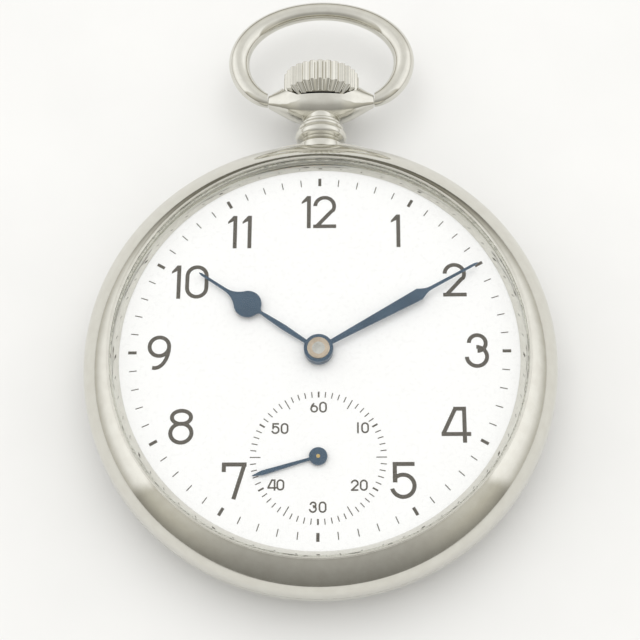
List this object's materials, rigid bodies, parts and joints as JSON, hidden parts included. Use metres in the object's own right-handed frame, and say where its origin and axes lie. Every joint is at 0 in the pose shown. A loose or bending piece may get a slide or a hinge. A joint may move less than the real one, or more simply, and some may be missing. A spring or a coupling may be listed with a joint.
{
  "type": "pocket watch",
  "caption": "Open face pocket watch: polished round case with domed crystal, ribbed crown and oval bow, white dial with blued hands, and a complete hand-wound movement.",
  "frame": {"origin": "centre of the flat on the back cover, where the watch lies on a table", "axes": "+Z out of the dial, +Y towards 12 o'clock and the bow, +X towards 3 o'clock"},
  "size_m": [0.0513, 0.0706, 0.0125],
  "materials": {
    "steel_polished": "mirror polished warm white metal",
    "crystal_glass": "polished domed mineral glass",
    "dial_enamel": "smooth white enamel",
    "dial_ink": "dark grey printed enamel",
    "blued_steel": "heat blued steel",
    "cap_steel": "polished steel",
    "nickel_plate": "nickel plated brass with stripes",
    "gilt_brass": "gilded brass",
    "ruby": "polished ruby",
    "spring_steel": "polished spring steel",
    "polished_steel_parts": "polished steel"
  },
  "bodies": {
    "case": {"case_middle": "steel_polished", "back_hinge_pin": "steel_polished", "bezel": "steel_polished", "crystal": "crystal_glass", "pendant": "steel_polished", "pendant_sleeve": "steel_polished", "dial": "dial_enamel", "dial_printing": "dial_ink", "mainplate": "nickel_plate", "barrel_bridge": "nickel_plate", "train_bridge": "nickel_plate", "balance_cock": "nickel_plate", "pallet_cock": "nickel_plate", "bridge_screws": "polished_steel_parts", "movement_screws": "polished_steel_parts", "jewels": "ruby", "crown_wheel_screw": "polished_steel_parts", "click_screw": "polished_steel_parts", "click_spring": "spring_steel", "yoke_spring": "spring_steel", "hairspring": "spring_steel"},
    "back": {"back_cover": "steel_polished"},
    "bow": {"bow": "steel_polished"},
    "detent": {"setting_lever": "polished_steel_parts"},
    "crown": {"crown": "steel_polished", "winding_stem": "polished_steel_parts"},
    "yoke": {"yoke": "polished_steel_parts"},
    "clutch": {"sliding_pinion": "polished_steel_parts"},
    "winding_pinion": {"winding_pinion": "polished_steel_parts"},
    "crown_wheel": {"crown_wheel": "polished_steel_parts"},
    "ratchet": {"ratchet_wheel": "polished_steel_parts", "ratchet_screw": "polished_steel_parts", "barrel_arbor": "polished_steel_parts"},
    "click": {"click": "polished_steel_parts"},
    "barrel": {"barrel": "gilt_brass", "barrel_cover": "gilt_brass", "mainspring": "spring_steel"},
    "centre": {"centre_wheel": "gilt_brass"},
    "third": {"third_wheel": "gilt_brass"},
    "fourth": {"fourth_wheel": "gilt_brass", "seconds_hand": "blued_steel"},
    "escape": {"escape_wheel": "polished_steel_parts"},
    "pallet": {"pallet_fork": "polished_steel_parts", "pallet_stones": "ruby"},
    "balance": {"balance_wheel": "gilt_brass"},
    "regulator": {"regulator": "polished_steel_parts"},
    "minute": {"cannon_pinion": "polished_steel_parts", "minute_hand": "blued_steel", "centre_cap": "cap_steel"},
    "minute_wheel": {"minute_wheel": "gilt_brass"},
    "hour": {"hour_wheel": "gilt_brass", "hour_hand": "blued_steel"},
    "setting_wheel": {"setting_wheel": "polished_steel_parts"}
  },
  "joints": [
    {"name": "seconds_turn", "type": "hinge", "parent": "case", "child": "fourth", "pos_m": [0, -0.0115, 0.0051], "axis": [0, 0, -1], "continuous": true},
    {"name": "third_turn", "type": "hinge", "parent": "case", "child": "third", "pos_m": [-0.00317, -0.0062, 0.0061], "axis": [0, 0, -1], "continuous": true},
    {"name": "centre_turn", "type": "hinge", "parent": "case", "child": "centre", "pos_m": [0, 0, 0.0051], "axis": [0, 0, -1], "continuous": true},
    {"name": "barrel_turn", "type": "hinge", "parent": "case", "child": "barrel", "pos_m": [0.008, 0.0041, 0.0065], "axis": [0, 0, -1], "continuous": true},
    {"name": "escape_turn", "type": "hinge", "parent": "case", "child": "escape", "pos_m": [0.0049, -0.0135, 0.0058], "axis": [0, 0, -1], "continuous": true},
    {"name": "hands_set", "type": "hinge", "parent": "case", "child": "minute", "pos_m": [0, 0, 0.0106], "axis": [0, 0, -1], "continuous": true},
    {"name": "minute_wheel_turn", "type": "hinge", "parent": "case", "child": "minute_wheel", "pos_m": [0.00109, 0.00406, 0.0082], "axis": [0, 0, -1], "continuous": true},
    {"name": "hour_turn", "type": "hinge", "parent": "case", "child": "hour", "pos_m": [0, 0, 0.0103], "axis": [0, 0, -1], "continuous": true},
    {"name": "setting_wheel_turn", "type": "hinge", "parent": "case", "child": "setting_wheel", "pos_m": [0.0002, 0.00888, 0.0082], "axis": [0, 0, -1], "continuous": true},
    {"name": "crown_pull", "type": "slide", "parent": "case", "child": "detent", "axis": [0, 1, 0], "range_m": [0, 0.0009]},
    {"name": "crown_turn", "type": "hinge", "parent": "detent", "child": "crown", "pos_m": [0, 0.033, 0.0063], "axis": [0, 1, 0], "continuous": true},
    {"name": "yoke_slide", "type": "slide", "parent": "case", "child": "yoke", "axis": [0, -1, 0], "range_m": [0, 0.0009]},
    {"name": "clutch_turn", "type": "hinge", "parent": "yoke", "child": "clutch", "pos_m": [0, 0.0113, 0.0063], "axis": [0, 1, 0], "continuous": true},
    {"name": "winding_pinion_turn", "type": "hinge", "parent": "case", "child": "winding_pinion", "pos_m": [0, 0.0135, 0.0063], "axis": [0, 1, 0], "continuous": true},
    {"name": "crown_wheel_turn", "type": "hinge", "parent": "case", "child": "crown_wheel", "pos_m": [0.00103, 0.00998, 0.0039], "axis": [0, 0, -1], "continuous": true},
    {"name": "ratchet_turn", "type": "hinge", "parent": "case", "child": "ratchet", "pos_m": [0.008, 0.0041, 0.0039], "axis": [0, 0, -1], "continuous": true},
    {"name": "click_lift", "type": "hinge", "parent": "case", "child": "click", "pos_m": [0.01129, 0.01028, 0.0039], "axis": [0, 0, 1], "range_deg": [-6, 0], "stiffness_Nm_per_rad": 0.00002, "springref_deg": 2.86},
    {"name": "pallet_swing", "type": "hinge", "parent": "case", "child": "pallet", "pos_m": [0.00716, -0.01096, 0.0057], "axis": [0, 0, -1], "range_deg": [-4, 4]},
    {"name": "balance_swing", "type": "hinge", "parent": "case", "child": "balance", "pos_m": [0.0098, -0.008, 0.0043], "axis": [0, 0, -1], "range_deg": [-160, 160], "stiffness_Nm_per_rad": 0.0000006},
    {"name": "regulator_index", "type": "hinge", "parent": "case", "child": "regulator", "pos_m": [0.0098, -0.008, 0.0026], "axis": [0, 0, 1], "range_deg": [-12, 12]},
    {"name": "bow_swing", "type": "hinge", "parent": "case", "child": "bow", "pos_m": [0, 0.03175, 0.0063], "axis": [1, 0, 0], "range_deg": [-120, 120]},
    {"name": "back_open", "type": "hinge", "parent": "case", "child": "back", "pos_m": [-0.02475, 0, 0.00495], "axis": [0, 1, 0], "range_deg": [0, 100]}
  ],
  "couplings": [
    {"joint": "third_turn", "follows": "seconds_turn", "ratio": -0.13333},
    {"joint": "centre_turn", "follows": "seconds_turn", "ratio": 0.016667},
    {"joint": "barrel_turn", "follows": "seconds_turn", "ratio": -0.0020833},
    {"joint": "escape_turn", "follows": "seconds_turn", "ratio": -10},
    {"joint": "minute_wheel_turn", "follows": "hands_set", "ratio": -0.33333},
    {"joint": "hour_turn", "follows": "hands_set", "ratio": 0.083333},
    {"joint": "setting_wheel_turn", "follows": "hands_set", "ratio": 0.6},
    {"joint": "yoke_slide", "follows": "crown_pull", "ratio": 1},
    {"joint": "clutch_turn", "follows": "crown_turn", "ratio": 1},
    {"joint": "winding_pinion_turn", "follows": "crown_turn", "ratio": 1},
    {"joint": "crown_wheel_turn", "follows": "crown_turn", "ratio": -0.46667},
    {"joint": "ratchet_turn", "follows": "crown_turn", "ratio": 0.30435}
  ]
}
